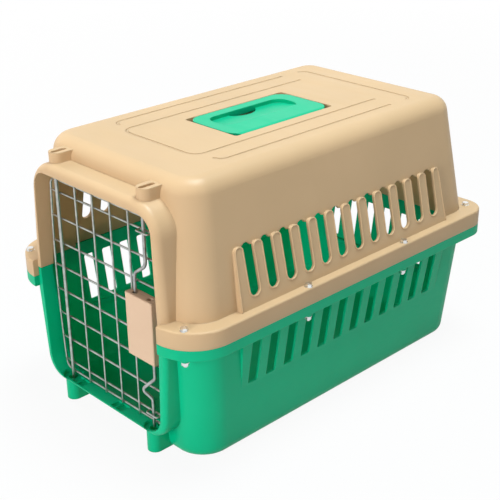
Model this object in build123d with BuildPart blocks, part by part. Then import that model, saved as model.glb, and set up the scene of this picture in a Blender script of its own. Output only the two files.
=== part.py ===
"""Travel carrier for a small bird or pet: two moulded half shells bolted at a wide flange, a welded
wire door with a two-rod spring latch, and a flip-up carrying handle let into the roof.

Millimetres. +X is the latch side, -Y the door end, +Z up; the origin is on the floor under the middle.
"""
from build123d import *
from math import cos, radians, sin, tan
import os

os.makedirs("parts", exist_ok=True)

# Overall size
LENGTH = 495.0
WIDTH = 320.0
HEIGHT = 313.7
PARTING = 153.0
TONGUE = 10.5
TONGUE_GAP = 0.3
WALL = 3.0

# Body walls where the halves meet, and how far each wall leans from there (degrees)
HALF_BODY = 146.4
FRONT_BODY = -228.0
REAR_BODY = 228.7
ROOF_DRAFTS = (9.6, 5.8, 4.6)
TRAY_DRAFTS = (4.7, 4.4, 3.7)

# Flange
LIP_UP = 19.7
LIP_DOWN = 12.5
FLANGE_TOP = PARTING + LIP_UP
R_FLANGE_FRONT = 51.0
R_FLANGE_REAR = 29.0

# Door frame
COLLAR_FRONT = 240.9
COLLAR_BACK = 206.0
COLLAR_HALF = 115.0
HOLE_HALF = 103.5
LEDGE = 32.4
WAY_IN_DEEP = 52.0
JAMB_ROLL = 8.5
LIP_END = 108.5

# Vents
VENTS = 12
VENT_PITCH = 27.0
VENT_WIDTH = 14.0
VENT_FIRST = -146.0

# Door wires
POST_X = 74.5
POST_FOOT = 3.0
HINGE_Y = -229.0
ROD_Y = -229.5
HINGE_R = 2.0
ROD_R = 1.9
MESH_R = 1.2
UPRIGHT_R = 1.1
RIM_R = 1.3
MESH_Y = -226.0
UPRIGHT_Y = -228.1
MESH_TOP = 258.8
MESH_PITCH = 30.35
RUNNING = 0.08

# Latch
STROKE = 8.0
CASE_LEFT = 45.6
CASE_RIGHT = 88.4
CASE_LOW = 112.5
CASE_HIGH = 185.5
CASE_FRONT = -236.3
CASE_SPLIT = -227.3
CASE_BACK = -223.3
UPPER_ROD_X = 55.0
LOWER_ROD_X = 80.0

# Carrying handle
GRIP_LEFT = -39.0
GRIP_FRONT = -73.0
GRIP_REAR = 79.0
GRIP_AXIS = (37.0, HEIGHT - 6.0)
GRIP_GAP = 1.2
WELL_FLOOR = 298.0

# Flange bolts, one side; the other side mirrors them
BOLT_PLACES = [(135.0, -233.0), (154.8, -76.0), (154.8, 85.0), (138.0, 229.0)]
BOLT_R = 2.0
BOLT_HOLE_R = 2.15
WASHER = 0.8
BOSS_LOW = 138.0
NUT = 3.2
ACROSS_FLATS = 7.0


def export(piece, name):
    """Label a finished piece and write it under its own name."""
    piece.part.label = name
    export_step(piece.part, f"parts/{name}.step")


def leaning_body(far, drafts, inset, r_front, r_rear, r_edge):
    """Body block from the parting plane to the far height, with four leaning walls and round corners."""
    far_z = far - inset if far > PARTING else far + inset
    rise = abs(far_z - PARTING)
    side, front, rear = [rise * tan(radians(angle)) for angle in drafts]
    half = HALF_BODY - inset
    front_wall = FRONT_BODY + inset
    rear_wall = REAR_BODY - inset
    with BuildPart() as body:
        with BuildSketch(Plane.XZ):
            Polygon((-half, PARTING), (half, PARTING), (half - side, far_z), (side - half, far_z), align=None)
        extrude(amount=LENGTH, both=True)
        with BuildSketch(Plane.YZ):
            Polygon(
                (front_wall, PARTING), (rear_wall, PARTING),
                (rear_wall - rear, far_z), (front_wall + front, far_z), align=None,
            )
        extrude(amount=WIDTH, both=True, mode=Mode.INTERSECT)
        fillet(uprights(body).group_by(Axis.Y)[0], r_front - inset)
        fillet(uprights(body).group_by(Axis.Y)[-1], r_rear - inset)
        fillet(body.edges().filter_by_position(Axis.Z, far_z - 0.1, far_z + 0.1), r_edge - inset)
    return body.part


def uprights(body):
    """The straight corner edges that run from the parting plane to the far face."""
    middle = body.part.bounding_box().center().Z
    return body.edges().filter_by(GeomType.LINE).filter_by_position(Axis.Z, middle - 5, middle + 5)


def flange_outline():
    """Plan of the flange, drawn in the open sketch."""
    Rectangle(WIDTH, LENGTH)
    fillet(vertices().group_by(Axis.Y)[0], R_FLANGE_FRONT)
    fillet(vertices().group_by(Axis.Y)[-1], R_FLANGE_REAR)


def lip_channel():
    """Plan of the hollow under a lip, drawn in the open sketch: it stops short of the doorway on each side."""
    flange_outline()
    offset(amount=-WALL, mode=Mode.REPLACE)
    with Locations((0, -COLLAR_FRONT)):
        Rectangle(2 * (LIP_END + WALL), 20, mode=Mode.SUBTRACT)


def tongue_plan(gap):
    """Plan of the two ends of the tray's door frame that stand up inside the roof half."""
    with Locations((0, -COLLAR_FRONT - gap)):
        Rectangle(2 * (COLLAR_HALF + gap), COLLAR_FRONT - COLLAR_BACK + gap, align=(Align.CENTER, Align.MIN))
    fillet(vertices().group_by(Axis.Y)[0], JAMB_ROLL + gap)


def door_outline(half, far_half, far_z, radius):
    """Half of a door-shaped outline between the parting plane and the far height, with two round corners."""
    Polygon((-half, PARTING), (half, PARTING), (far_half, far_z), (-far_half, far_z), align=None)
    fillet(vertices().filter_by(lambda v: abs(v.Y - far_z) < 0.01), radius)


def door_collar(far_half, far_z, radius, hole_far_half, hole_far_z, hole_radius, rim_radius):
    """Half of the frame round the door: a block standing out from the front wall, with the way in cut."""
    with BuildPart() as collar:
        with BuildSketch(Plane.XZ.offset(COLLAR_FRONT)):
            door_outline(COLLAR_HALF, far_half, far_z, radius)
        extrude(amount=COLLAR_BACK - COLLAR_FRONT)
        fillet(free_rim(collar), rim_radius)
        with BuildSketch(Plane.XZ.offset(COLLAR_FRONT)):
            door_outline(HOLE_HALF, hole_far_half, hole_far_z, hole_radius)
        extrude(amount=COLLAR_BACK - COLLAR_FRONT, mode=Mode.SUBTRACT)
    return collar.part


def free_rim(collar):
    """Edges of the collar's front face apart from the straight one on the parting plane."""
    face = collar.faces().sort_by(Axis.Y)[0]
    return face.edges().filter_by(lambda e: abs(e.center().Z - PARTING) > 0.5)


def vent_centres(low, high):
    """Places of the slots along a side, in the plane of the panel, for slots from low to high."""
    return [(VENT_FIRST + VENT_PITCH * i, (low + high) / 2) for i in range(VENTS)]


# Both halves: bodies and cores ---------------------------------------------------------------------

roof_form = leaning_body(HEIGHT, ROOF_DRAFTS, 0, 34, 27, 19)
roof_core = leaning_body(HEIGHT, ROOF_DRAFTS, WALL, 34, 27, 19)
tray_form = leaning_body(0, TRAY_DRAFTS, 0, 38, 30, 14)
tray_core = leaning_body(0, TRAY_DRAFTS, WALL, 38, 30, 14)

ROOF_HOLE = (99.0, 282.8, 20.0)
TRAY_HOLE = (98.5, LEDGE, 24.0)
roof_collar = door_collar(105.0, 294.5, 36.0, *ROOF_HOLE, JAMB_ROLL)
tray_collar = door_collar(105.0, 28.0, 27.0, *TRAY_HOLE, 5.0)

# Roof vents: a band of rounded fingers standing proud of the wall ------------------------------------

FINGER_DRAFT = 12.5
FINGER_PLANE = Plane(
    origin=(150, 0, FLANGE_TOP), x_dir=(0, 1, 0),
    z_dir=(cos(radians(FINGER_DRAFT)), 0, sin(radians(FINGER_DRAFT))),
)
FINGER_TOP = 67.6
SLOT_LOW = 12.3
SLOT_HIGH = 68.6

with BuildPart() as finger_bands:
    with BuildSketch(FINGER_PLANE):
        Polygon((-170, -21), (174, -21), (169.5, FINGER_TOP), (-164.8, FINGER_TOP), align=None)
        with Locations(*vent_centres(SLOT_LOW, 100)):
            SlotOverall(100 - SLOT_LOW, VENT_WIDTH, rotation=90, mode=Mode.SUBTRACT)
        fillet(vertices().group_by(Axis.Y)[-1], 5.6)
    extrude(amount=-8.5)
    with BuildSketch(Plane.XY.offset(PARTING)):
        Rectangle(2 * WIDTH, LENGTH)
    extrude(amount=-10, mode=Mode.SUBTRACT)
    mirror(about=Plane.YZ)

with BuildPart() as finger_pockets:
    with BuildSketch(FINGER_PLANE.offset(-WALL)):
        Polygon((-166.5, -25), (170.5, -25), (165.8, 64.6), (-161.3, 64.6), align=None)
    extrude(amount=-10)
    mirror(about=Plane.YZ)

with BuildPart() as finger_slots:
    with BuildSketch(FINGER_PLANE):
        with Locations(*vent_centres(SLOT_LOW, SLOT_HIGH)):
            SlotOverall(SLOT_HIGH - SLOT_LOW, VENT_WIDTH, rotation=90)
    extrude(amount=16, both=True)
    mirror(about=Plane.YZ)

# Tray vents: a panel that grows out of the wall towards the flange -----------------------------------

TRAY_VENT_DRAFT = 9.0
TRAY_VENT_PLANE = Plane(
    origin=(139.4, 0, 72), x_dir=(0, 1, 0),
    z_dir=(cos(radians(TRAY_VENT_DRAFT)), 0, -sin(radians(TRAY_VENT_DRAFT))),
)
TRAY_SLOT_LOW = 7.6
TRAY_SLOT_HIGH = 64.8

with BuildPart() as tray_vents:
    with BuildSketch(TRAY_VENT_PLANE):
        Polygon((-161, -3), (171.3, -3), (171.3, 80), (-169.3, 80), align=None)
    extrude(amount=-7)
    mirror(about=Plane.YZ)

with BuildPart() as tray_vent_pockets:
    with BuildSketch(TRAY_VENT_PLANE.offset(-WALL)):
        Polygon((-159, 3), (168.3, 3), (168.3, 90), (-166.3, 90), align=None)
    extrude(amount=-12)
    mirror(about=Plane.YZ)

with BuildPart() as tray_vent_slots:
    with BuildSketch(TRAY_VENT_PLANE):
        with Locations(*vent_centres(TRAY_SLOT_LOW, TRAY_SLOT_HIGH)):
            RectangleRounded(VENT_WIDTH, TRAY_SLOT_HIGH - TRAY_SLOT_LOW, 2.5)
    extrude(amount=16, both=True)
    mirror(about=Plane.YZ)

# the same kind of panel in the back wall, with six slots
REAR_VENT_PLANE = Plane(
    origin=(0, 223, 66), x_dir=(-1, 0, 0),
    z_dir=(0, cos(radians(TRAY_VENT_DRAFT)), -sin(radians(TRAY_VENT_DRAFT))),
)
REAR_VENT_PITCH = 28.7
REAR_VENTS = [(REAR_VENT_PITCH * (i - 2.5), (TRAY_SLOT_LOW + TRAY_SLOT_HIGH) / 2) for i in range(6)]

with BuildPart() as rear_vents:
    with BuildSketch(REAR_VENT_PLANE):
        Polygon((-86, -3), (86, -3), (90, 84), (-90, 84), align=None)
    extrude(amount=-9)

with BuildPart() as rear_vent_pockets:
    with BuildSketch(REAR_VENT_PLANE.offset(-WALL)):
        Polygon((-83, 3), (83, 3), (86, 82), (-86, 82), align=None)
    extrude(amount=-12)

with BuildPart() as rear_vent_slots:
    with BuildSketch(REAR_VENT_PLANE):
        with Locations(*REAR_VENTS):
            RectangleRounded(VENT_WIDTH, TRAY_SLOT_HIGH - TRAY_SLOT_LOW + 3, 2.5)
    extrude(amount=16, both=True)

# Top shell -----------------------------------------------------------------------------------------

BOSS_R = 9.0
BOSS_TOP = 305.8
BOSS_FRONT_Y = -224.8

with BuildPart() as top_shell:
    with BuildSketch(Plane.XY.offset(PARTING)):
        flange_outline()
    extrude(amount=LIP_UP)
    fillet(faces().sort_by(Axis.Z)[-1].edges(), 2)
    with BuildSketch(Plane.XY.offset(PARTING)):
        lip_channel()
    extrude(amount=LIP_UP - WALL, mode=Mode.SUBTRACT)
    with BuildSketch(Plane.XY.offset(PARTING)):
        with Locations(*BOLT_PLACES):
            Circle(5)
        mirror(about=Plane.YZ)
    extrude(amount=LIP_UP - WALL)
    add(roof_form)
    add(roof_collar)
    # columns over the hinge rod and the latch rod
    with BuildSketch(Plane.XY.offset(286)):
        with Locations((POST_X, BOSS_FRONT_Y), (-POST_X, BOSS_FRONT_Y)):
            Circle(BOSS_R)
            Rectangle(2 * BOSS_R, 26, align=(Align.CENTER, Align.MIN))
    extrude(amount=BOSS_TOP - 286)
    add(roof_core, mode=Mode.SUBTRACT)
    add(finger_bands.part)
    add(finger_pockets.part, mode=Mode.SUBTRACT)
    add(finger_slots.part, mode=Mode.SUBTRACT)
    # way in through the lip and the front wall
    with BuildSketch(Plane.XZ.offset(LENGTH / 2)):
        door_outline(HOLE_HALF, *ROOF_HOLE)
    extrude(amount=-WAY_IN_DEEP, mode=Mode.SUBTRACT)
    # the lip ends at the door frame, which has room inside for the tray's tongues
    with BuildSketch(Plane.XY.offset(PARTING)):
        with Locations((0, -LENGTH / 2)):
            Rectangle(2 * LIP_END, LENGTH / 2 - COLLAR_FRONT, align=(Align.CENTER, Align.MIN))
    extrude(amount=LIP_UP, mode=Mode.SUBTRACT)
    with BuildSketch(Plane.XY.offset(PARTING)):
        tongue_plan(TONGUE_GAP)
    extrude(amount=TONGUE + TONGUE_GAP, mode=Mode.SUBTRACT)
    # slots in the columns, with a round seat under each: close on the hinge rod, loose on the latch rod
    with BuildSketch(Plane.XY.offset(300)):
        with Locations((POST_X, -222.6), (-POST_X, -222.6)):
            SlotOverall(19.4, 5.5, rotation=90)
    extrude(amount=10, mode=Mode.SUBTRACT)
    with BuildSketch(Plane.XY.offset(280)):
        with Locations((-POST_X, HINGE_Y)):
            Circle(HINGE_R + RUNNING)
        with Locations((POST_X, ROD_Y)):
            Circle(ROD_R + 0.6)
    extrude(amount=25, mode=Mode.SUBTRACT)
    # well for the carrying handle
    with BuildSketch(Plane.XY.offset(WELL_FLOOR - WALL)):
        with Locations(((GRIP_LEFT + GRIP_AXIS[0] + 6) / 2, (GRIP_FRONT + GRIP_REAR) / 2)):
            RectangleRounded(82 + 2 * (GRIP_GAP + WALL), GRIP_REAR - GRIP_FRONT + 2 * (GRIP_GAP + WALL), 6)
    extrude(amount=HEIGHT - WELL_FLOOR)
    with BuildSketch(Plane.XY.offset(WELL_FLOOR)):
        with Locations(((GRIP_LEFT + GRIP_AXIS[0] + 6) / 2, (GRIP_FRONT + GRIP_REAR) / 2)):
            RectangleRounded(82 + 2 * GRIP_GAP, GRIP_REAR - GRIP_FRONT + 2 * GRIP_GAP, 3)
    extrude(amount=30, mode=Mode.SUBTRACT)
    # holes for the handle pins
    with BuildSketch(Plane.XZ.offset(-GRIP_REAR - 3.8)):
        with Locations(GRIP_AXIS):
            Circle(2)
    extrude(amount=GRIP_REAR - GRIP_FRONT + 7.6, mode=Mode.SUBTRACT)
    # bolt holes
    with BuildSketch(Plane.XY.offset(PARTING - 5)):
        with Locations(*BOLT_PLACES):
            Circle(BOLT_HOLE_R)
        mirror(about=Plane.YZ)
    extrude(amount=40, mode=Mode.SUBTRACT)
    # shallow grooves in the roof
    with BuildSketch(Plane.XY.offset(HEIGHT)):
        with BuildLine():
            bar = Line((0, -148), (46, -148))
            bend = TangentArc(bar @ 1, (61, -133), tangent=bar % 1)
            Line(bend @ 1, (61, 137))
        trace(line_width=3.2)
        with BuildLine():
            hook = RadiusArc((78, -138), (89, -127), -12)
            Line(hook @ 1, (89, 132))
        trace(line_width=3.2)
        with BuildLine():
            back = Line((0, 171), (78, 171))
            TangentArc(back @ 1, (89, 161), tangent=back % 1)
        trace(line_width=3.2)
        mirror(about=Plane.YZ)
    extrude(amount=-1.4, mode=Mode.SUBTRACT)
export(top_shell, "top_shell")

# Bottom shell --------------------------------------------------------------------------------------

with BuildPart() as bottom_shell:
    with BuildSketch(Plane.XY.offset(PARTING)):
        flange_outline()
    extrude(amount=-LIP_DOWN)
    fillet(faces().sort_by(Axis.Z)[0].edges(), 1)
    with BuildSketch(Plane.XY.offset(PARTING - WALL)):
        lip_channel()
    extrude(amount=WALL - LIP_DOWN, mode=Mode.SUBTRACT)
    with BuildSketch(Plane.XY.offset(BOSS_LOW)):
        with Locations(*BOLT_PLACES):
            Circle(4.7)
        mirror(about=Plane.YZ)
    extrude(amount=PARTING - BOSS_LOW)
    add(tray_form)
    add(tray_collar)
    # tongues that stand up inside the roof half
    with BuildSketch(Plane.XY.offset(PARTING)):
        tongue_plan(0)
    extrude(amount=TONGUE)
    # foot posts under the hinge rod and the latch rod
    with BuildSketch(Plane.XY.offset(POST_FOOT)):
        with Locations((POST_X, ROD_Y), (-POST_X, ROD_Y)):
            Circle(BOSS_R)
            Rectangle(2 * BOSS_R, 20, align=(Align.CENTER, Align.MIN))
    extrude(amount=30 - POST_FOOT)
    add(tray_core, mode=Mode.SUBTRACT)
    with BuildSketch(Plane.XY.offset(PARTING)):
        with Locations((0, FRONT_BODY + WALL)):
            Rectangle(2 * HALF_BODY, LENGTH, align=(Align.CENTER, Align.MIN))
    extrude(amount=TONGUE, mode=Mode.SUBTRACT)
    add(tray_vents.part)
    add(rear_vents.part)
    add(tray_vent_pockets.part, mode=Mode.SUBTRACT)
    add(rear_vent_pockets.part, mode=Mode.SUBTRACT)
    add(tray_vent_slots.part, mode=Mode.SUBTRACT)
    add(rear_vent_slots.part, mode=Mode.SUBTRACT)
    # the lip ends at the door frame; way in between the tongues and through the front wall
    with BuildSketch(Plane.XY.offset(PARTING)):
        with Locations((0, -LENGTH / 2)):
            Rectangle(2 * LIP_END, LENGTH / 2 - COLLAR_FRONT, align=(Align.CENTER, Align.MIN))
    extrude(amount=-LIP_DOWN, mode=Mode.SUBTRACT)
    with BuildSketch(Plane.XZ.offset(LENGTH / 2)):
        door_outline(HOLE_HALF, *TRAY_HOLE)
        with Locations((0, PARTING)):
            Rectangle(2 * HOLE_HALF, TONGUE, align=(Align.CENTER, Align.MIN))
    extrude(amount=-WAY_IN_DEEP, mode=Mode.SUBTRACT)
    # dished seats round the rods, open over the front of the ledge, with a cup in each post
    with BuildSketch(Plane.XY.offset(29.6)):
        with Locations((POST_X, ROD_Y), (-POST_X, ROD_Y)):
            Circle(11.5)
    extrude(amount=12, mode=Mode.SUBTRACT)
    with BuildSketch(Plane.XY.offset(20)):
        with Locations((POST_X, ROD_Y), (-POST_X, ROD_Y)):
            Circle(5.5)
    extrude(amount=12, mode=Mode.SUBTRACT)
    with BuildSketch(Plane.XY.offset(11)):
        with Locations((-POST_X, HINGE_Y)):
            Circle(HINGE_R + RUNNING)
    extrude(amount=12, mode=Mode.SUBTRACT)
    # shallow pockets in the ledge, each with a rib
    with BuildSketch(Plane.XY.offset(LEDGE - 2.6)):
        with Locations((-54.5, -232.6), (19, -232.6)):
            RectangleRounded(20, 11.6, 2)
        with Locations((-55.5, -232.6), (17, -232.6)):
            Rectangle(1.6, 12, mode=Mode.SUBTRACT)
    extrude(amount=5, mode=Mode.SUBTRACT)
    with BuildSketch(Plane.XY.offset(BOSS_LOW - 1)):
        with Locations(*BOLT_PLACES):
            Circle(BOLT_HOLE_R)
        mirror(about=Plane.YZ)
    extrude(amount=30, mode=Mode.SUBTRACT)
export(bottom_shell, "bottom_shell")

# Carrying handle -----------------------------------------------------------------------------------

GRIP_WIDTH = GRIP_AXIS[0] + 6 - GRIP_LEFT
GRIP_LENGTH = GRIP_REAR - GRIP_FRONT
GRIP_CENTRE = (GRIP_LEFT + GRIP_WIDTH / 2, (GRIP_FRONT + GRIP_REAR) / 2)
GRIP_SKIRT = 9.0
SCOOP_LEFT = -25.5
SCOOP_RIGHT = 12.0
SCOOP_DEEP = 4.5
SCOOP_CENTRE = ((SCOOP_LEFT + SCOOP_RIGHT) / 2, 2)

# finger scoop in the top of the handle: deepest against its left wall, running out to the right
with BuildPart() as scoop:
    with BuildSketch(Plane.XZ.offset(60)):
        with BuildLine():
            floor = ThreePointArc(
                (SCOOP_LEFT, HEIGHT - SCOOP_DEEP), (-6, HEIGHT - 3.4), (SCOOP_RIGHT, HEIGHT),
            )
            Polyline(floor @ 1, (SCOOP_RIGHT, HEIGHT + 1), (SCOOP_LEFT, HEIGHT + 1), floor @ 0)
        make_face()
    extrude(amount=-124)
    with BuildSketch(Plane.XY.offset(HEIGHT - 10)):
        with Locations(SCOOP_CENTRE):
            RectangleRounded(SCOOP_RIGHT - SCOOP_LEFT, 118, 14)
    extrude(amount=20, mode=Mode.INTERSECT)

with BuildPart() as carry_handle:
    with BuildSketch(Plane.XZ.offset(-GRIP_REAR)):
        with Locations((GRIP_LEFT, HEIGHT)):
            Rectangle(GRIP_AXIS[0] - GRIP_LEFT, GRIP_SKIRT, align=(Align.MIN, Align.MAX))
        with Locations(GRIP_AXIS):
            Circle(6)
    extrude(amount=GRIP_LENGTH)
    with BuildSketch(Plane.XY.offset(HEIGHT - 20)):
        with Locations(GRIP_CENTRE):
            RectangleRounded(GRIP_WIDTH, GRIP_LENGTH, 18)
    extrude(amount=30, mode=Mode.INTERSECT)
    # hollow underside, left thick under the scoop and round the hinge
    with BuildSketch(Plane.XY.offset(HEIGHT - GRIP_SKIRT)):
        with Locations((GRIP_LEFT + WALL, GRIP_CENTRE[1])):
            RectangleRounded(64, GRIP_LENGTH - 2 * WALL, 15, align=(Align.MIN, Align.CENTER))
    extrude(amount=GRIP_SKIRT - WALL, mode=Mode.SUBTRACT)
    with BuildSketch(Plane.XY.offset(HEIGHT - SCOOP_DEEP - WALL)):
        with Locations(SCOOP_CENTRE):
            RectangleRounded(SCOOP_RIGHT - SCOOP_LEFT + 2 * WALL, 118 + 2 * WALL, 16)
    extrude(amount=SCOOP_DEEP)
    add(scoop.part, mode=Mode.SUBTRACT)
    # finger hole: a segment of a circle against the left wall of the scoop
    with BuildSketch(Plane.XY.offset(HEIGHT - 20)):
        with Locations((-37.9, 1)):
            Circle(24.4)
        with Locations((SCOOP_LEFT, 1)):
            Rectangle(40, 60, align=(Align.MAX, Align.CENTER), mode=Mode.SUBTRACT)
    extrude(amount=30, mode=Mode.SUBTRACT)
    # bore for the hinge pins
    with BuildSketch(Plane.XZ.offset(-GRIP_REAR)):
        with Locations(GRIP_AXIS):
            Circle(2 + RUNNING)
    extrude(amount=GRIP_LENGTH, mode=Mode.SUBTRACT)
export(carry_handle, "carry_handle")

PIN_LENGTH = 22.0
for pin_name, pin_start in (("handle_pin_front", GRIP_FRONT - 3.6), ("handle_pin_rear", GRIP_REAR + 3.6)):
    with BuildPart() as handle_pin:
        with BuildSketch(Plane.XZ.offset(-pin_start)):
            with Locations(GRIP_AXIS):
                Circle(2)
        extrude(amount=-PIN_LENGTH if pin_start < 0 else PIN_LENGTH)
    export(handle_pin, pin_name)

# Door ----------------------------------------------------------------------------------------------


def wire_along(path, radius):
    """Round wire swept along a path."""
    with BuildPart() as wire:
        with BuildSketch(Plane(origin=path @ 0, z_dir=path % 0)):
            Circle(radius)
        sweep(path=path)
    return wire.part


def rim_half(z):
    """Half width of the wire rim at a height: it bows out with the door frame."""
    return 95.0 - 5.5 * ((z - PARTING) / 120) ** 2


RIM_LOW = 35.4
RIM_HIGH = 273.0

with BuildLine(Plane.XZ.offset(-MESH_Y)) as rim_line:
    low = Line((-rim_half(RIM_LOW), RIM_LOW), (rim_half(RIM_LOW), RIM_LOW))
    right = ThreePointArc(low @ 1, (rim_half(PARTING), PARTING), (rim_half(RIM_HIGH), RIM_HIGH))
    high = Line(right @ 1, (-rim_half(RIM_HIGH), RIM_HIGH))
    ThreePointArc(high @ 1, (-rim_half(PARTING), PARTING), low @ 0)
    fillet(vertices(), 9)
rim_path = rim_line.wires()[0]
with BuildPart() as door_rim_wire:
    add(wire_along(rim_path, RIM_R))
export(door_rim_wire, "door_rim_wire")

with BuildPart() as door_hinge_rod:
    with BuildSketch(Plane.XY.offset(12)):
        with Locations((-POST_X, HINGE_Y)):
            Circle(HINGE_R)
    extrude(amount=298 - 12)
    chamfer(edges().filter_by(GeomType.CIRCLE), 0.6)
export(door_hinge_rod, "door_hinge_rod")

MESH_HEIGHTS = [MESH_TOP - MESH_PITCH * i for i in range(8)]
with BuildPart() as door_horizontal_wires:
    for z in MESH_HEIGHTS:
        reach = rim_half(z) - RIM_R + 0.2
        with BuildSketch(Plane.YZ.offset(-reach)):
            with Locations((MESH_Y, z)):
                Circle(MESH_R)
        extrude(amount=2 * reach)
export(door_horizontal_wires, "door_horizontal_wires")

UPRIGHT_X = [-42.6 + 30.2 * i for i in range(4)]
with BuildPart() as door_vertical_wires:
    with BuildSketch(Plane.XY.offset(RIM_LOW - 1)):
        with Locations(*[(x, UPRIGHT_Y) for x in UPRIGHT_X]):
            Circle(UPRIGHT_R)
    extrude(amount=RIM_HIGH - RIM_LOW + 2)
export(door_vertical_wires, "door_vertical_wires")

# staples that keep the latch rods against the mesh
for loop_name, loop_z in (("guide_loop_upper", MESH_HEIGHTS[0]), ("guide_loop_lower", MESH_HEIGHTS[-1])):
    with BuildLine() as staple_line:
        FilletPolyline(
            (65.5, MESH_Y - 1, loop_z), (65.5, ROD_Y - 3.4, loop_z),
            (83.5, ROD_Y - 3.4, loop_z), (83.5, MESH_Y - 1, loop_z), radius=2.4,
        )
    with BuildPart() as guide_loop:
        add(wire_along(staple_line.wires()[0], 1.0))
    export(guide_loop, loop_name)

# Latch ---------------------------------------------------------------------------------------------

TAB = 3.0
TAB_HALF = 2.8
SPRING_R = 2.15
CASE_CENTRE_X = (CASE_LEFT + CASE_RIGHT) / 2
CASE_HEIGHT = CASE_HIGH - CASE_LOW
UPPER_ROD_END = 152.0
LOWER_ROD_END = CASE_LOW + CASE_HIGH - UPPER_ROD_END
SPRING_LENGTH = 30.0
MOUTH_DEEP = 4.0
SCREW_PLACES = [(67.5, CASE_LOW + 12), (67.5, CASE_HIGH - 12)]

# case: a block with open-backed channels for the two rods, their springs and one upright wire
with BuildPart() as latch_housing:
    with BuildSketch(Plane.XZ.offset(-CASE_SPLIT)):
        with Locations((CASE_CENTRE_X, (CASE_LOW + CASE_HIGH) / 2)):
            Rectangle(CASE_RIGHT - CASE_LEFT, CASE_HEIGHT)
    extrude(amount=CASE_SPLIT - CASE_FRONT)
    chamfer(faces().sort_by(Axis.Y)[0].edges(), 0.8)
    for x, z_from, z_to in (
        (UPPER_ROD_X, UPPER_ROD_END - SPRING_LENGTH, CASE_HIGH),
        (LOWER_ROD_X, CASE_LOW, LOWER_ROD_END + SPRING_LENGTH),
    ):
        with BuildSketch(Plane.XY.offset(z_from)):
            with Locations((x, ROD_Y)):
                Circle(SPRING_R + 0.15)
                Rectangle(2 * SPRING_R + 0.3, 4, align=(Align.CENTER, Align.MIN))
        extrude(amount=z_to - z_from, mode=Mode.SUBTRACT)
    # room for each rod's shoulder tab over its stroke
    for x, z_from in ((UPPER_ROD_X, 172.0), (LOWER_ROD_X, CASE_LOW + CASE_HIGH - 172.0 - TAB - STROKE)):
        with BuildSketch(Plane.XY.offset(z_from - 0.3)):
            with Locations((x, ROD_Y)):
                Rectangle(2 * TAB_HALF + 0.6, 8, align=(Align.CENTER, Align.CENTER))
        extrude(amount=TAB + STROKE + 0.6, mode=Mode.SUBTRACT)
    with BuildSketch(Plane.XY.offset(CASE_LOW)):
        with Locations((UPRIGHT_X[3], UPRIGHT_Y)):
            Circle(UPRIGHT_R + 0.1)
            Rectangle(2 * UPRIGHT_R + 0.2, 4, align=(Align.CENTER, Align.MIN))
    extrude(amount=CASE_HEIGHT, mode=Mode.SUBTRACT)
    # wider mouth round each rod, with a blind hole beside it
    for x, end, into in ((UPPER_ROD_X, CASE_HIGH, -1), (LOWER_ROD_X, CASE_LOW, 1)):
        with BuildSketch(Plane.XY.offset(end)):
            with Locations((x, ROD_Y), (2 * CASE_CENTRE_X - x, ROD_Y)):
                Circle(3.1)
        extrude(amount=into * MOUTH_DEEP, mode=Mode.SUBTRACT)
    with BuildSketch(Plane.XZ.offset(-CASE_SPLIT)):
        with Locations(*SCREW_PLACES):
            Circle(1.5)
    extrude(amount=6, mode=Mode.SUBTRACT)
export(latch_housing, "latch_housing")

with BuildPart() as latch_back_plate:
    with BuildSketch(Plane.XZ.offset(-CASE_BACK)):
        with Locations((CASE_CENTRE_X, (CASE_LOW + CASE_HIGH) / 2)):
            Rectangle(CASE_RIGHT - CASE_LEFT, CASE_HEIGHT)
    extrude(amount=CASE_BACK - CASE_SPLIT)
    for z in (MESH_HEIGHTS[3], MESH_HEIGHTS[4]):
        with BuildSketch(Plane.YZ.offset(CASE_LEFT)):
            with Locations((MESH_Y, z)):
                Circle(MESH_R + 0.1)
                Rectangle(4, 2 * MESH_R + 0.2, align=(Align.MAX, Align.CENTER))
        extrude(amount=CASE_RIGHT - CASE_LEFT, mode=Mode.SUBTRACT)
    with BuildSketch(Plane.XY.offset(CASE_LOW)):
        with Locations((UPRIGHT_X[3], UPRIGHT_Y)):
            Circle(UPRIGHT_R + 0.1)
    extrude(amount=CASE_HEIGHT, mode=Mode.SUBTRACT)
    with BuildSketch(Plane.XZ.offset(-CASE_BACK)):
        with Locations(*SCREW_PLACES):
            Circle(1.5)
    extrude(amount=6, mode=Mode.SUBTRACT)
export(latch_back_plate, "latch_back_plate")

with BuildPart() as latch_screws:
    with BuildSketch(Plane.XZ.offset(-CASE_BACK)):
        with Locations(*SCREW_PLACES):
            Circle(1.5)
    extrude(amount=8)
    with BuildSketch(Plane.XZ.offset(-CASE_BACK)):
        with Locations(*SCREW_PLACES):
            Circle(2.8)
    extrude(amount=-1.6)
export(latch_screws, "latch_screws")


def shoulder_tab(x, z_low):
    """Flattened shoulder on the front of a rod, which stops it at the ends of its stroke."""
    with BuildPart() as tab:
        with BuildSketch(Plane.XY.offset(z_low)):
            with Locations((x, ROD_Y)):
                Rectangle(2 * TAB_HALF, 3.3, align=(Align.CENTER, Align.MAX))
        extrude(amount=TAB)
    return tab.part


UPPER_TIP = 281.8
LOWER_TIP = 30.4
with BuildLine() as upper_rod_line:
    FilletPolyline(
        (UPPER_ROD_X, ROD_Y, UPPER_ROD_END), (UPPER_ROD_X, ROD_Y, 207),
        (POST_X, ROD_Y, 221), (POST_X, ROD_Y, UPPER_TIP), radius=11,
    )
upper_rod = wire_along(upper_rod_line.wires()[0], ROD_R)
upper_tab = shoulder_tab(UPPER_ROD_X, 172.0)
with BuildPart() as latch_rod_upper:
    add(upper_rod)
    add(upper_tab)
export(latch_rod_upper, "latch_rod_upper")

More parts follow.
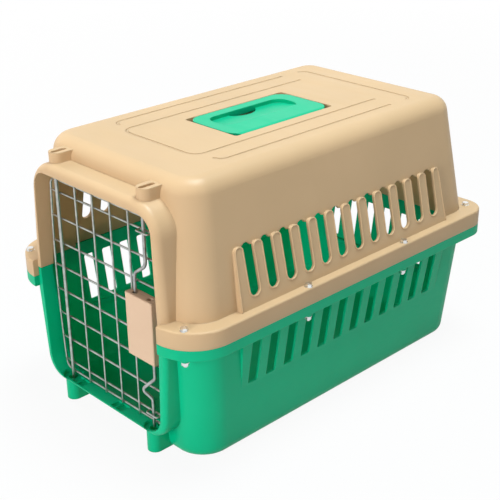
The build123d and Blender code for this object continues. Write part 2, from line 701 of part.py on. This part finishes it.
with BuildLine() as lower_rod_line:
    FilletPolyline(
        (LOWER_ROD_X, ROD_Y, LOWER_ROD_END), (LOWER_ROD_X, ROD_Y, 92), (65, -236, 76),
        (POST_X, ROD_Y, 65), (POST_X, ROD_Y, LOWER_TIP), radius=5.5,
    )
lower_rod = wire_along(lower_rod_line.wires()[0], ROD_R)
lower_tab = shoulder_tab(LOWER_ROD_X, CASE_LOW + CASE_HIGH - 172.0 - TAB)
with BuildPart() as latch_rod_lower:
    add(lower_rod)
    add(lower_tab)
export(latch_rod_lower, "latch_rod_lower")

for spring_name, spring_x, spring_z in (
    ("latch_spring_upper", UPPER_ROD_X, UPPER_ROD_END - SPRING_LENGTH),
    ("latch_spring_lower", LOWER_ROD_X, LOWER_ROD_END),
):
    with BuildPart() as latch_spring:
        with BuildSketch(Plane.XY.offset(spring_z)):
            with Locations((spring_x, ROD_Y)):
                Circle(SPRING_R)
                Circle(SPRING_R - 0.8, mode=Mode.SUBTRACT)
        extrude(amount=SPRING_LENGTH)
    export(latch_spring, spring_name)

# Flange fasteners ----------------------------------------------------------------------------------

HEAD = 2.8
BOLT_TOP = FLANGE_TOP + WASHER
NUT_TOP = BOSS_LOW - WASHER


def ring_at_bolts(outer, hole=0):
    """Discs or rings at every bolt place, drawn in the open sketch."""
    with Locations(*BOLT_PLACES):
        Circle(outer)
        if hole:
            Circle(hole, mode=Mode.SUBTRACT)
    mirror(about=Plane.YZ)


def hexagon_at_bolts():
    """Hexagons at every bolt place, drawn in the open sketch."""
    with Locations(*BOLT_PLACES):
        RegularPolygon(ACROSS_FLATS / 2, 6, major_radius=False)
    mirror(about=Plane.YZ)


with BuildPart() as flange_bolts:
    with BuildSketch(Plane.XY.offset(NUT_TOP - NUT - 2)):
        ring_at_bolts(BOLT_R)
    extrude(amount=BOLT_TOP - NUT_TOP + NUT + 2)
    with BuildSketch(Plane.XY.offset(BOLT_TOP)):
        hexagon_at_bolts()
    extrude(amount=HEAD)
export(flange_bolts, "flange_bolts")

with BuildPart() as flange_washers_top:
    with BuildSketch(Plane.XY.offset(FLANGE_TOP)):
        ring_at_bolts(4.6, BOLT_HOLE_R)
    extrude(amount=WASHER)
export(flange_washers_top, "flange_washers_top")

with BuildPart() as flange_washers_bottom:
    with BuildSketch(Plane.XY.offset(NUT_TOP)):
        ring_at_bolts(4.4, BOLT_HOLE_R)
    extrude(amount=WASHER)
export(flange_washers_bottom, "flange_washers_bottom")

with BuildPart() as flange_nuts:
    with BuildSketch(Plane.XY.offset(NUT_TOP - NUT)):
        hexagon_at_bolts()
    extrude(amount=NUT)
    with BuildSketch(Plane.XY.offset(NUT_TOP - NUT)):
        ring_at_bolts(BOLT_R)
    extrude(amount=NUT, mode=Mode.SUBTRACT)
export(flange_nuts, "flange_nuts")
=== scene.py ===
"""Travel carrier for a small bird or pet, dressed on its CAD frame.

Metres. +X is the latch side, -Y the door end, +Z up.
"""

import bpy
from math import cos, pi, radians, sin
from mathutils import Matrix, Vector


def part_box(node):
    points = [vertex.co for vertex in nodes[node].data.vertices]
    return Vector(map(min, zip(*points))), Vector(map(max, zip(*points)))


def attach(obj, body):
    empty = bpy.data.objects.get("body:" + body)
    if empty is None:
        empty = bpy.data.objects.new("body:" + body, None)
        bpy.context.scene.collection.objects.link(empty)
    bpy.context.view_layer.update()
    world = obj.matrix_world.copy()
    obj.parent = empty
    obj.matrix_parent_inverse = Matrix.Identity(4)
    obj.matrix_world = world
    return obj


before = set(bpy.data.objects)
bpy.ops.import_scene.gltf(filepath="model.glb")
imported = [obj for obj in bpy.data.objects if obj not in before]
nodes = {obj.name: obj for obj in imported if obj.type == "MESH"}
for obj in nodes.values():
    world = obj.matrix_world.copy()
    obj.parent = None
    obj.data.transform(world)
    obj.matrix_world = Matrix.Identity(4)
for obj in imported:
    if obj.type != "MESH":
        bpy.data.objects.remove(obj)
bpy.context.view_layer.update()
MM = 0.001

# Camera, floor and light --------------------------------------------------------------------------
# A camera at standing height in front of the door's right-hand corner, over a pale floor. The light
# is soft: a strong lamp overhead, weaker ones in front and on the left, a faint one on the right.

CAMERA_PLACE = Vector((0.8369, -0.8131, 0.6728))
CAMERA_YAW = radians(46.30)
CAMERA_DOWN = radians(24.51)
CAMERA_ROLL = radians(-0.69)
LENS_MM = 75.95
SENSOR_MM = 36

camera_data = bpy.data.cameras.new("camera")
camera_data.lens = LENS_MM
camera_data.sensor_width = SENSOR_MM
camera = bpy.data.objects.new("camera", camera_data)
camera.matrix_world = (
    Matrix.Translation(CAMERA_PLACE)
    @ Matrix.Rotation(CAMERA_YAW, 4, "Z")
    @ Matrix.Rotation(pi / 2 - CAMERA_DOWN, 4, "X")
    @ Matrix.Rotation(CAMERA_ROLL, 4, "Z")
)
bpy.context.scene.collection.objects.link(camera)
bpy.context.scene.camera = camera
bpy.context.scene.view_settings.view_transform = "Standard"


CARRIER_MIDDLE = Vector((0, 0, 0.15))


def soft_light(name, place, size, watts, colour=(1, 1, 1)):
    """A square soft box at a place, facing the middle of the carrier."""
    data = bpy.data.lights.new(name, "AREA")
    data.shape = "SQUARE"
    data.size = size
    data.energy = watts
    data.color = colour
    lamp = bpy.data.objects.new(name, data)
    lamp.location = place
    lamp.rotation_euler = (CARRIER_MIDDLE - Vector(place)).to_track_quat("-Z", "Y").to_euler()
    bpy.context.scene.collection.objects.link(lamp)
    return lamp


soft_light("top_light", (0.25, 0.3, 2.5), size=1.1, watts=86, colour=(0.86, 0.97, 1.0))
front_light = soft_light("front_light", (0.5, -2.5, 0.75), size=1.2, watts=62)
soft_light("side_light", (2.6, -0.2, 0.8), size=1.4, watts=2, colour=(1.0, 0.93, 0.85))
left_light = soft_light("left_light", (-2.4, -0.2, 1.0), size=1.4, watts=42)
# the two low lamps would glare on the flat roof when it is seen against them
for low_lamp in (front_light, left_light):
    low_lamp.visible_glossy = False


def shader_nodes(holder):
    """Empty the node tree of a material or world, and return a short way to add nodes and links."""
    holder.use_nodes = True
    tree = holder.node_tree
    tree.nodes.clear()
    return tree.nodes.new, tree.links.new


# strength of the white surroundings as a source of light; looked at, they have a strength of 1
FILL = 0.23


def seen_share(add, link):
    """1 where a ray comes from the camera, a shiny surface or a clear one, else 0."""
    path = add("ShaderNodeLightPath")
    either = add("ShaderNodeMath")
    either.operation = "MAXIMUM"
    link(path.outputs["Is Camera Ray"], either.inputs[0])
    link(path.outputs["Is Glossy Ray"], either.inputs[1])
    all_three = add("ShaderNodeMath")
    all_three.operation = "MAXIMUM"
    link(either.outputs[0], all_three.inputs[0])
    link(path.outputs["Is Transmission Ray"], all_three.inputs[1])
    return all_three.outputs[0]


world = bpy.data.worlds.new("studio")
bpy.context.scene.world = world
add, link = shader_nodes(world)
strength = add("ShaderNodeMath")
strength.operation = "MULTIPLY_ADD"
strength.inputs[1].default_value = 1 - FILL
strength.inputs[2].default_value = FILL
link(seen_share(add, link), strength.inputs[0])
white = add("ShaderNodeBackground")
white.inputs["Color"].default_value = (1, 1, 1, 1)
link(strength.outputs[0], white.inputs["Strength"])
out = add("ShaderNodeOutputWorld")
link(white.outputs[0], out.inputs[0])

FLOOR_SIZE = 30.0
FLOOR_LEVEL = -0.4 * MM
# distances from the middle of the carrier between which the floor fades into the white behind it
SHADOW_REACH = 0.6
FADE_END = 2.2
GLOW_NEAR = 0.93
GLOW_FAR = 1.0

floor_material = bpy.data.materials.new("pale_floor")
add, link = shader_nodes(floor_material)
matt = add("ShaderNodeBsdfDiffuse")
matt.inputs["Color"].default_value = (0.5, 0.5, 0.5, 1)
glow = add("ShaderNodeEmission")
glow.inputs["Color"].default_value = (1, 1, 1, 1)
glow.inputs["Strength"].default_value = 1.0
reach = add("ShaderNodeVectorMath")
reach.operation = "LENGTH"
link(add("ShaderNodeTexCoord").outputs["Object"], reach.inputs[0])
fade = add("ShaderNodeMapRange")
fade.inputs["From Min"].default_value = SHADOW_REACH
fade.inputs["From Max"].default_value = FADE_END
fade.inputs["To Min"].default_value = GLOW_NEAR
fade.inputs["To Max"].default_value = GLOW_FAR
link(reach.outputs["Value"], fade.inputs["Value"])
share = add("ShaderNodeMath")
share.operation = "MULTIPLY"
link(fade.outputs["Result"], share.inputs[1])
mixed = add("ShaderNodeMixShader")
out = add("ShaderNodeOutputMaterial")
link(seen_share(add, link), share.inputs[0])
link(share.outputs[0], mixed.inputs[0])
link(matt.outputs[0], mixed.inputs[1])
link(glow.outputs[0], mixed.inputs[2])
link(mixed.outputs[0], out.inputs[0])
floor_mesh = bpy.data.meshes.new("floor")
half_floor = FLOOR_SIZE / 2
corners = ((-1, -1), (1, -1), (1, 1), (-1, 1))
floor_mesh.from_pydata(
    [(across * half_floor, along * half_floor, FLOOR_LEVEL) for across, along in corners],
    [], [(0, 1, 2, 3)],
)
floor_mesh.materials.append(floor_material)
floor = bpy.data.objects.new("floor", floor_mesh)
bpy.context.scene.collection.objects.link(floor)

# Roof half ----------------------------------------------------------------------------------------
# The roof half is one injection moulding of tan polypropylene, 3 mm thick, with a fine satin grain.
# It drops over the tray's flange and is held there by eight bolts.


def dressed(node, material):
    """Give a CAD piece its finished material."""
    for holder in nodes[node].material_slots:
        holder.material = material


def moulded_plastic(name, colour, colour_low, colour_high, rough, through_wall):
    """Satin moulded plastic with a slow drift of colour, a fine grain, rub marks and soft edges.

    through_wall is the share of light that passes through the wall.
    """
    material = bpy.data.materials.new(name)
    add, link = shader_nodes(material)
    place = add("ShaderNodeTexCoord").outputs["Object"]
    body = add("ShaderNodeBsdfPrincipled")
    out = add("ShaderNodeOutputMaterial")
    body.inputs["IOR"].default_value = 1.49
    body.inputs["Specular IOR Level"].default_value = 0.28

    drift = add("ShaderNodeTexNoise")
    drift.inputs["Scale"].default_value = 9
    drift.inputs["Detail"].default_value = 3
    link(place, drift.inputs["Vector"])
    tint = add("ShaderNodeValToRGB")
    tint.color_ramp.elements[0].position = 0.3
    tint.color_ramp.elements[0].color = (*colour_low, 1)
    tint.color_ramp.elements[1].position = 0.7
    tint.color_ramp.elements[1].color = (*colour_high, 1)
    middle = tint.color_ramp.elements.new(0.5)
    middle.color = (*colour, 1)
    link(drift.outputs["Fac"], tint.inputs["Fac"])
    link(tint.outputs["Color"], body.inputs["Base Color"])

    # thin walls let some light through
    through = add("ShaderNodeBsdfTranslucent")
    link(tint.outputs["Color"], through.inputs["Color"])
    wall = add("ShaderNodeMixShader")
    wall.inputs["Fac"].default_value = through_wall
    link(body.outputs[0], wall.inputs[1])
    link(through.outputs[0], wall.inputs[2])

    # rub marks: long thin noise that only changes the gloss
    stretch = add("ShaderNodeMapping")
    stretch.inputs["Scale"].default_value = (14, 60, 240)
    link(place, stretch.inputs["Vector"])
    rub = add("ShaderNodeTexNoise")
    rub.inputs["Scale"].default_value = 1.0
    rub.inputs["Detail"].default_value = 6
    link(stretch.outputs["Vector"], rub.inputs["Vector"])
    gloss = add("ShaderNodeMapRange")
    gloss.inputs["From Min"].default_value = 0.35
    gloss.inputs["From Max"].default_value = 0.7
    gloss.inputs["To Min"].default_value = rough - 0.04
    gloss.inputs["To Max"].default_value = rough + 0.07
    link(rub.outputs["Fac"], gloss.inputs["Value"])
    link(gloss.outputs["Result"], body.inputs["Roughness"])

    # grain of the mould and a softened look on sharp edges
    grain = add("ShaderNodeTexNoise")
    grain.inputs["Scale"].default_value = 1400
    grain.inputs["Detail"].default_value = 2
    link(place, grain.inputs["Vector"])
    edge = add("ShaderNodeBevel")
    edge.samples = 4
    edge.inputs["Radius"].default_value = 1.6 * MM
    bump = add("ShaderNodeBump")
    bump.inputs["Strength"].default_value = 0.08
    bump.inputs["Distance"].default_value = 0.15 * MM
    link(grain.outputs["Fac"], bump.inputs["Height"])
    link(edge.outputs["Normal"], bump.inputs["Normal"])
    link(bump.outputs["Normal"], body.inputs["Normal"])
    link(wall.outputs[0], out.inputs["Surface"])
    return material


tan_plastic = moulded_plastic(
    "tan_polypropylene", colour=(0.62, 0.435, 0.252),
    colour_low=(0.60, 0.42, 0.242), colour_high=(0.64, 0.45, 0.263),
    rough=0.36, through_wall=0.28,
)
dressed("top_shell", tan_plastic)

# Rounded rims of the roof vents -------------------------------------------------------------------
# The mould rounds every vent finger, in one piece with the roof half and of the same polypropylene.
# One bead runs up the finger's side and over its tip, then down and round the foot of the slot.

VENTS = 12
VENT_PITCH = 27.0 * MM
FIRST_VENT = -146.0 * MM
VENT_HALF = 7.0 * MM
VENT_FOOT = 12.3 * MM
FINGER_TOP = 67.6 * MM
FINGER_CORNER = 5.6 * MM
BAND_LEAN = radians(12.5)
BAND_FOOT = Vector((150.0 * MM, 0, 172.7 * MM))
BEAD_R = 1.15 * MM
BEAD_INSET = 0.85 * MM
BEAD_SUNK = 0.40 * MM
# ends of the row of fingers: place along the side at the top and at the foot, sign of the way
# inwards, angle at which the bend at the top starts
FRONT_EDGE = (-164.8 * MM, -168.4 * MM, 1, 90)
REAR_EDGE = (169.5 * MM, 172.9 * MM, -1, 0)
EDGE_FOOT = 0.6 * MM
BEND_POINTS = 14
BEAD_POINTS = 10


def new_tree(name, sizes):
    """A Geometry Nodes tree with named inputs, each given as a label, a socket type and a default.

    Returns the tree, its input node and a short way to add nodes and links to it.
    """
    tree = bpy.data.node_groups.new(name, "GeometryNodeTree")
    tree.interface.new_socket("Geometry", in_out="INPUT", socket_type="NodeSocketGeometry")
    for label, kind, value in sizes:
        socket = tree.interface.new_socket(label, in_out="INPUT", socket_type=kind)
        socket.default_value = value
    tree.interface.new_socket("Geometry", in_out="OUTPUT", socket_type="NodeSocketGeometry")
    return tree, tree.nodes.new("NodeGroupInput"), tree.nodes.new, tree.links.new


def both_sides(half):
    """A shape of the right-hand side together with its mirror image on the left."""
    mirrored = add("GeometryNodeTransform")
    mirrored.inputs["Scale"].default_value = (-1, 1, 1)
    link(half, mirrored.inputs["Geometry"])
    turned = add("GeometryNodeFlipFaces")
    link(mirrored.outputs["Geometry"], turned.inputs[0])
    joined = add("GeometryNodeJoinGeometry")
    link(half, joined.inputs[0])
    link(turned.outputs[0], joined.inputs[0])
    return joined.outputs[0]


def finished(shape, material):
    """End a tree: instances made real, the material set, the result given out."""
    solid = add("GeometryNodeRealizeInstances")
    link(shape, solid.inputs["Geometry"])
    coated = add("GeometryNodeSetMaterial")
    coated.inputs["Material"].default_value = material
    link(solid.outputs["Geometry"], coated.inputs["Geometry"])
    result = add("NodeGroupOutput")
    link(coated.outputs["Geometry"], result.inputs["Geometry"])


def grown(name, tree, material, values, bodies):
    """Run a tree on an empty mesh and keep the result as a plain mesh that rides on a body."""
    holder = bpy.data.objects.new(name + "_holder", bpy.data.meshes.new(name + "_holder"))
    bpy.context.scene.collection.objects.link(holder)
    modifier = holder.modifiers.new("grow", "NODES")
    modifier.node_group = tree
    for item in tree.interface.items_tree:
        if item.in_out == "INPUT" and item.name in values:
            modifier[item.identifier] = values[item.name]
    evaluated = holder.evaluated_get(bpy.context.evaluated_depsgraph_get())
    mesh = bpy.data.meshes.new_from_object(evaluated)
    holder.modifiers.clear()
    bpy.data.objects.remove(holder)
    mesh.materials.clear()
    mesh.materials.append(material)
    piece = bpy.data.objects.new(name, mesh)
    bpy.context.scene.collection.objects.link(piece)
    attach(piece, bodies)


rim_tree, given, add, link = new_tree("slot_rims", [
    ("Slots", "NodeSocketInt", VENTS), ("Pitch", "NodeSocketFloat", VENT_PITCH),
    ("First", "NodeSocketFloat", FIRST_VENT), ("Bead", "NodeSocketFloat", BEAD_R),
])


def run(joined, start, end):
    """A straight run of a curve in its own plane, added to a Join Geometry node."""
    line = add("GeometryNodeCurvePrimitiveLine")
    line.inputs["Start"].default_value = (*start, 0)
    line.inputs["End"].default_value = (*end, 0)
    link(line.outputs[0], joined.inputs[0])


def bend(joined, centre, radius, start, sweep):
    """A round run of a curve about a centre, from a start angle through a sweep in degrees."""
    arc = add("GeometryNodeCurveArc")
    arc.inputs["Resolution"].default_value = BEND_POINTS
    arc.inputs["Radius"].default_value = radius
    arc.inputs["Start Angle"].default_value = radians(start)
    arc.inputs["Sweep Angle"].default_value = radians(sweep)
    shift = add("GeometryNodeTransform")
    shift.inputs["Translation"].default_value = (*centre, 0)
    link(arc.outputs[0], shift.inputs["Geometry"])
    link(shift.outputs["Geometry"], joined.inputs[0])


cell = add("GeometryNodeJoinGeometry")
side = VENT_HALF + BEAD_INSET
tip = FINGER_TOP - BEAD_INSET
corner_r = FINGER_CORNER - BEAD_INSET
corner_z = FINGER_TOP - FINGER_CORNER
foot_z = VENT_FOOT + VENT_HALF
bend(cell, (0, foot_z), side, 180, 180)
for way, start in ((-1, 0), (1, 90)):
    run(cell, (way * side, foot_z), (way * side, corner_z))
    bend(cell, (way * (VENT_HALF + FINGER_CORNER), corner_z), corner_r, start, 90)
    run(cell, (way * (VENT_HALF + FINGER_CORNER), tip), (way * VENT_PITCH / 2, tip))
places = add("GeometryNodeMeshLine")
first = add("ShaderNodeCombineXYZ")
step = add("ShaderNodeCombineXYZ")
link(given.outputs["First"], first.inputs["X"])
link(given.outputs["Pitch"], step.inputs["X"])
link(given.outputs["Slots"], places.inputs["Count"])
link(first.outputs[0], places.inputs["Start Location"])
link(step.outputs[0], places.inputs["Offset"])
cells = add("GeometryNodeInstanceOnPoints")
link(places.outputs[0], cells.inputs["Points"])
link(cell.outputs[0], cells.inputs["Instance"])
band = add("GeometryNodeJoinGeometry")
link(cells.outputs[0], band.inputs[0])
# the outer edges of the first and the last finger, down to the lip
for edge_top, edge_foot, way, start in (FRONT_EDGE, REAR_EDGE):
    bend(band, (edge_top + way * FINGER_CORNER, corner_z), corner_r, start, 90)
    run(band, (edge_top + way * BEAD_INSET, corner_z), (edge_foot + way * BEAD_INSET, EDGE_FOOT))
one_body = add("GeometryNodeRealizeInstances")
link(band.outputs[0], one_body.inputs["Geometry"])
bead_profile = add("GeometryNodeCurvePrimitiveCircle")
bead_profile.inputs["Resolution"].default_value = BEAD_POINTS
link(given.outputs["Bead"], bead_profile.inputs["Radius"])
swept = add("GeometryNodeCurveToMesh")
swept.inputs["Fill Caps"].default_value = True
link(one_body.outputs["Geometry"], swept.inputs["Curve"])
link(bead_profile.outputs[0], swept.inputs["Profile Curve"])
outward = Vector((cos(BAND_LEAN), 0, sin(BAND_LEAN)))
upward = Vector((-sin(BAND_LEAN), 0, cos(BAND_LEAN)))
on_band = add("GeometryNodeTransform")
on_band.inputs["Rotation"].default_value = Matrix((
    (0, upward.x, outward.x), (1, upward.y, outward.y), (0, upward.z, outward.z),
)).to_euler()
on_band.inputs["Translation"].default_value = BAND_FOOT - outward * BEAD_SUNK
link(swept.outputs[0], on_band.inputs["Geometry"])
smooth = add("GeometryNodeSetShadeSmooth")
link(both_sides(on_band.outputs["Geometry"]), smooth.inputs["Geometry"])
finished(smooth.outputs["Geometry"], tan_plastic)
grown("roof_vent_rims", rim_tree, tan_plastic, {"Bead": BEAD_R}, "shell")

# Floors of the roof lines -------------------------------------------------------------------------
# The stiffening lines are shallow, soft channels moulded in one with the roof half, in the same
# plastic. Strips fill the grooves of the frame up to a little under the roof's face.

STRIP_WIDE = 3.3 * MM
STRIP_THICK = 1.3 * MM
STRIP_UNDER = 0.35 * MM
# plan of the right-hand half of the lines, x across the roof and y along it
INNER_SIDE = 61 * MM
INNER_FRONT = -148 * MM
INNER_BACK = 137 * MM
INNER_BEND = 15 * MM
INNER_CENTRE = (46 * MM, -133 * MM)
OUTER_SIDE = 89 * MM
OUTER_BACK = 132 * MM
OUTER_BEND = 12 * MM
OUTER_CENTRE = (77.04 * MM, -126.04 * MM)
OUTER_TURN = 85.4
REAR_LINE = 171 * MM
REAR_BEND = 11.05 * MM
REAR_CENTRE = (78 * MM, 159.95 * MM)
REAR_START = 5.45
REAR_TURN = 84.55

line_tree, given, add, link = new_tree("roof_line_floors", [
    ("Width", "NodeSocketFloat", STRIP_WIDE), ("Thickness", "NodeSocketFloat", STRIP_THICK),
])
half_roof = add("GeometryNodeJoinGeometry")
run(half_roof, (0, INNER_FRONT), (INNER_CENTRE[0], INNER_FRONT))
bend(half_roof, INNER_CENTRE, INNER_BEND, -90, 90)
run(half_roof, (INNER_SIDE, INNER_CENTRE[1]), (INNER_SIDE, INNER_BACK))
bend(half_roof, OUTER_CENTRE, OUTER_BEND, -OUTER_TURN, OUTER_TURN)
run(half_roof, (OUTER_SIDE, OUTER_CENTRE[1]), (OUTER_SIDE, OUTER_BACK))
run(half_roof, (0, REAR_LINE), (REAR_CENTRE[0], REAR_LINE))
bend(half_roof, REAR_CENTRE, REAR_BEND, REAR_START, REAR_TURN)
level = add("GeometryNodeSetCurveNormal")
level.mode = "Z_UP"
link(half_roof.outputs["Geometry"], level.inputs["Curve"])
strip_profile = add("GeometryNodeCurvePrimitiveQuadrilateral")
link(given.outputs["Width"], strip_profile.inputs["Width"])
link(given.outputs["Thickness"], strip_profile.inputs["Height"])
swept = add("GeometryNodeCurveToMesh")
swept.inputs["Fill Caps"].default_value = True
link(level.outputs["Curve"], swept.inputs["Curve"])
link(strip_profile.outputs[0], swept.inputs["Profile Curve"])
in_groove = add("GeometryNodeTransform")
in_groove.inputs["Translation"].default_value = (
    0, 0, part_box("top_shell")[1].z - STRIP_UNDER - STRIP_THICK / 2
)
link(swept.outputs[0], in_groove.inputs["Geometry"])
finished(both_sides(in_groove.outputs["Geometry"]), tan_plastic)
grown("roof_line_floors", line_tree, tan_plastic, {"Width": STRIP_WIDE}, "shell")

# Tray half ----------------------------------------------------------------------------------------
# The tray is a green injection moulding of the same plastic: a deep tub with a flange, and vents in
# its long walls. Its two front posts carry the door's hinge rod and take the lower latch rod.

green_plastic = moulded_plastic(
    "green_polypropylene", colour=(0.0, 0.53, 0.27),
    colour_low=(0.0, 0.51, 0.255), colour_high=(0.004, 0.55, 0.285),
    rough=0.36, through_wall=0.36,
)
dressed("bottom_shell", green_plastic)

# Carrying handle ----------------------------------------------------------------------------------
# The handle is a moulded plate of green polypropylene, let into the roof.
# It turns up on two steel pins and lies flush in its well when it is down.

handle_plastic = moulded_plastic(
    "handle_polypropylene", colour=(0.0, 0.43, 0.22),
    colour_low=(0.0, 0.41, 0.21), colour_high=(0.002, 0.45, 0.23),
    rough=0.36, through_wall=0.2,
)
dressed("carry_handle", handle_plastic)

# Hinge pins of the handle -------------------------------------------------------------------------
# Two short pins of zinc-plated steel, pressed through the walls of the well.
# The handle's barrel turns on their inner ends.


def plated_steel(name, colour_low, colour_high, rough):
    """Bright zinc plating: cloudy grey metal with a fine grain."""
    material = bpy.data.materials.new(name)
    add, link = shader_nodes(material)
    place = add("ShaderNodeTexCoord").outputs["Object"]
    body = add("ShaderNodeBsdfPrincipled")
    out = add("ShaderNodeOutputMaterial")
    body.inputs["Metallic"].default_value = 1.0
    cloud = add("ShaderNodeTexNoise")
    cloud.inputs["Scale"].default_value = 160
    cloud.inputs["Detail"].default_value = 4
    link(place, cloud.inputs["Vector"])
    tint = add("ShaderNodeValToRGB")
    tint.color_ramp.elements[0].position = 0.32
    tint.color_ramp.elements[0].color = (*colour_low, 1)
    tint.color_ramp.elements[1].position = 0.68
    tint.color_ramp.elements[1].color = (*colour_high, 1)
    link(cloud.outputs["Fac"], tint.inputs["Fac"])
    link(tint.outputs["Color"], body.inputs["Base Color"])
    gloss = add("ShaderNodeMapRange")
    gloss.inputs["To Min"].default_value = rough - 0.08
    gloss.inputs["To Max"].default_value = rough + 0.12
    link(cloud.outputs["Fac"], gloss.inputs["Value"])
    link(gloss.outputs["Result"], body.inputs["Roughness"])
    drawn = add("ShaderNodeTexNoise")
    drawn.inputs["Scale"].default_value = 900
    link(place, drawn.inputs["Vector"])
    bump = add("ShaderNodeBump")
    bump.inputs["Strength"].default_value = 0.15
    bump.inputs["Distance"].default_value = 0.05 * MM
    link(drawn.outputs["Fac"], bump.inputs["Height"])
    link(bump.outputs["Normal"], body.inputs["Normal"])
    link(body.outputs[0], out.inputs["Surface"])
    return material


pin_steel = plated_steel(
    "pin_steel", colour_low=(0.50, 0.50, 0.49), colour_high=(0.66, 0.66, 0.64), rough=0.30
)
for pin in ("handle_pin_front", "handle_pin_rear"):
    dressed(pin, pin_steel)

# Wire door ----------------------------------------------------------------------------------------
# A rim of bent wire with eight cross wires and four uprights resistance-welded to it, hung on a
# longer hinge rod whose ends turn in the two halves. All of it is zinc plated after welding.

wire_steel = plated_steel(
    "wire_steel", colour_low=(0.38, 0.40, 0.38), colour_high=(0.60, 0.63, 0.60), rough=0.34
)
for wire in (
    "door_rim_wire", "door_hinge_rod", "door_horizontal_wires", "door_vertical_wires",
    "guide_loop_upper", "guide_loop_lower",
):
    dressed(wire, wire_steel)

# Weld nuggets -------------------------------------------------------------------------------------
# Every upright is resistance-welded to the cross wires, steel on steel.
# The weld squeezes out a small flat bead round each contact.

COLUMNS = 4
ROWS = 8
NUGGET_R = 1.45 * MM
NUGGET_FLAT = 0.75
NUGGET_SMALLEST = 0.85
NUGGET_LARGEST = 1.1
NUGGET_SEED = 4
GRID_WIDE = 0.09
GRID_HIGH = 0.21
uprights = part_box("door_vertical_wires")
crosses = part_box("door_horizontal_wires")
upright_r = (uprights[1].y - uprights[0].y) / 2
cross_r = (crosses[1].y - crosses[0].y) / 2

nugget_tree, given, add, link = new_tree("weld_nuggets", [
    ("Columns", "NodeSocketInt", COLUMNS), ("Rows", "NodeSocketInt", ROWS),
    ("Width", "NodeSocketFloat", GRID_WIDE), ("Height", "NodeSocketFloat", GRID_HIGH),
    ("Bead", "NodeSocketFloat", NUGGET_R), ("Centre", "NodeSocketVector", (0, 0, 0)),
])
grid = add("GeometryNodeMeshGrid")
link(given.outputs["Width"], grid.inputs["Size X"])
link(given.outputs["Height"], grid.inputs["Size Y"])
link(given.outputs["Columns"], grid.inputs["Vertices X"])
link(given.outputs["Rows"], grid.inputs["Vertices Y"])
stand = add("GeometryNodeTransform")
stand.inputs["Rotation"].default_value = (pi / 2, 0, 0)
link(grid.outputs["Mesh"], stand.inputs["Geometry"])
link(given.outputs["Centre"], stand.inputs["Translation"])
bead = add("GeometryNodeMeshIcoSphere")
bead.inputs["Subdivisions"].default_value = 2
link(given.outputs["Bead"], bead.inputs["Radius"])
flat = add("GeometryNodeTransform")
flat.inputs["Scale"].default_value = (1.0, NUGGET_FLAT, 1.0)
link(bead.outputs["Mesh"], flat.inputs["Geometry"])
vary = add("FunctionNodeRandomValue")
vary.data_type = "FLOAT"
vary.inputs[2].default_value = NUGGET_SMALLEST
vary.inputs[3].default_value = NUGGET_LARGEST
vary.inputs["Seed"].default_value = NUGGET_SEED
spread = add("GeometryNodeInstanceOnPoints")
link(stand.outputs["Geometry"], spread.inputs["Points"])
link(flat.outputs["Geometry"], spread.inputs["Instance"])
link(vary.outputs[1], spread.inputs["Scale"])
smooth = add("GeometryNodeSetShadeSmooth")
link(spread.outputs["Instances"], smooth.inputs["Geometry"])
finished(smooth.outputs["Geometry"], wire_steel)

contact_y = (uprights[0].y + 2 * upright_r + crosses[0].y) / 2
grown("weld_nuggets", nugget_tree, wire_steel, {
    "Width": uprights[1].x - uprights[0].x - 2 * upright_r,
    "Height": crosses[1].z - crosses[0].z - 2 * cross_r,
    "Centre": (
        (uprights[0].x + uprights[1].x) / 2, contact_y, (crosses[0].z + crosses[1].z) / 2
    ),
}, "door")

# Latch case ---------------------------------------------------------------------------------------
# The latch case is a moulded box of tan plastic, clamped on the door's mesh.
# The case sits in front and a back plate behind, held together by two steel screws.

case_plastic = moulded_plastic(
    "case_polypropylene", colour=(0.57, 0.395, 0.268),
    colour_low=(0.55, 0.38, 0.257), colour_high=(0.59, 0.41, 0.279),
    rough=0.40, through_wall=0.1,
)
for part in ("latch_housing", "latch_back_plate"):
    dressed(part, case_plastic)
dressed("latch_screws", pin_steel)

# Latch rods ---------------------------------------------------------------------------------------
# Two rods of plated steel slide in staples on the door, and each has its own spring in the case.
# The springs push them outwards, and the finger bends pull them in.

rod_steel = plated_steel(
    "rod_steel", colour_low=(0.32, 0.33, 0.33), colour_high=(0.54, 0.55, 0.54), rough=0.30
)
for part in ("latch_rod_upper", "latch_rod_lower", "latch_spring_upper", "latch_spring_lower"):
    dressed(part, rod_steel)

# Flange bolts -------------------------------------------------------------------------------------
# Eight bolts of bright plated steel with plain washers clamp the roof's lip on the tray's flange.
# Each one's nut and second washer sit under the flange.

bolt_steel = plated_steel(
    "bolt_steel", colour_low=(0.66, 0.67, 0.67), colour_high=(0.88, 0.89, 0.88), rough=0.24
)
for part in ("flange_bolts", "flange_nuts", "flange_washers_top", "flange_washers_bottom"):
    dressed(part, bolt_steel)
